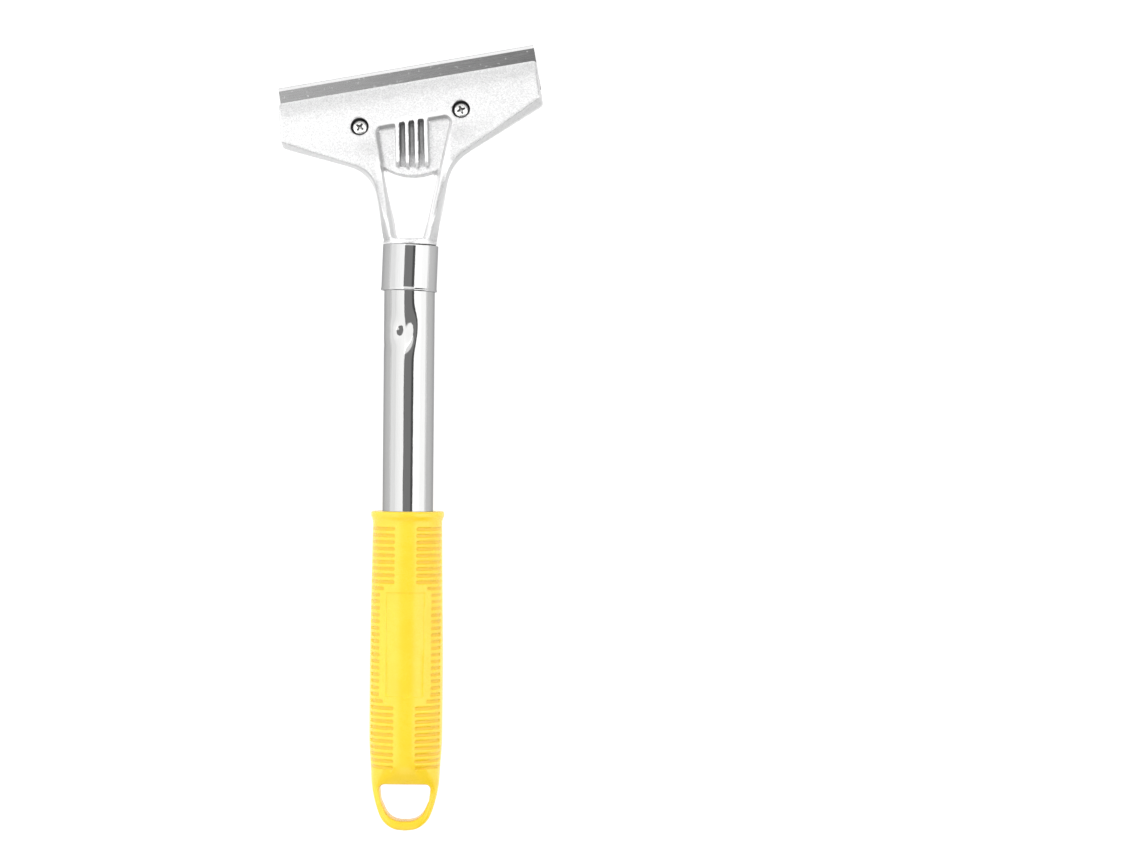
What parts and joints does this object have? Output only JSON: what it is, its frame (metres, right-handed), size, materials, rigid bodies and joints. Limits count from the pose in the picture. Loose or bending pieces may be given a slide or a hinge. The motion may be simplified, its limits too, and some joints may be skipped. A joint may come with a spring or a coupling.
{
  "type": "wall scraper",
  "caption": "Long-handled wall scraper with a skewed die-cast head that clamps a flat replaceable blade, a metal tube handle and a plastic grip with a hang loop.",
  "frame": {"origin": "middle of the footprint of the tool lying on its back, on the surface it rests on", "axes": "+Y along the handle from the hang loop to the blade, +Z out of the front face of the head, +X to the side of the head that is skewed towards the blade"},
  "size_m": [0.1024, 0.302, 0.0279],
  "materials": {
    "silver_paint": "silver-white paint on die-cast aluminium",
    "cast_plate": "as cast, satin",
    "polished_ferrule": "polished",
    "polished_tube": "polished",
    "yellow_plastic": "satin, moulded",
    "ground_steel": "ground, with a bright bevel",
    "plated_screws": "bright zinc"
  },
  "bodies": {
    "frame": {"head_casting": "silver_paint", "neck_ferrule": "polished_ferrule", "handle_tube": "polished_tube", "grip_sleeve": "yellow_plastic"},
    "clamp": {"clamp_plate": "cast_plate", "scraper_blade": "ground_steel"},
    "left_screw": {"clamp_screw_left": "plated_screws"},
    "right_screw": {"clamp_screw_right": "plated_screws"}
  },
  "joints": [
    {"name": "clamp_open", "type": "slide", "parent": "frame", "child": "clamp", "axis": [0.0338, -0.1878, -0.9816], "range_m": [0, 0.0018]},
    {"name": "left_screw_turn", "type": "hinge", "parent": "frame", "child": "left_screw", "pos_m": [-0.01883, 0.11723, 0.00758], "axis": [-0.0338, 0.1878, 0.9816], "range_deg": [0, 1080]},
    {"name": "right_screw_turn", "type": "hinge", "parent": "frame", "child": "right_screw", "pos_m": [0.01995, 0.1242, 0.00758], "axis": [-0.0338, 0.1878, 0.9816], "range_deg": [0, 1080]}
  ],
  "couplings": [
    {"joint": "left_screw_turn", "follows": "clamp_open", "rad_per_m": 10472},
    {"joint": "right_screw_turn", "follows": "clamp_open", "rad_per_m": 10472}
  ]
}
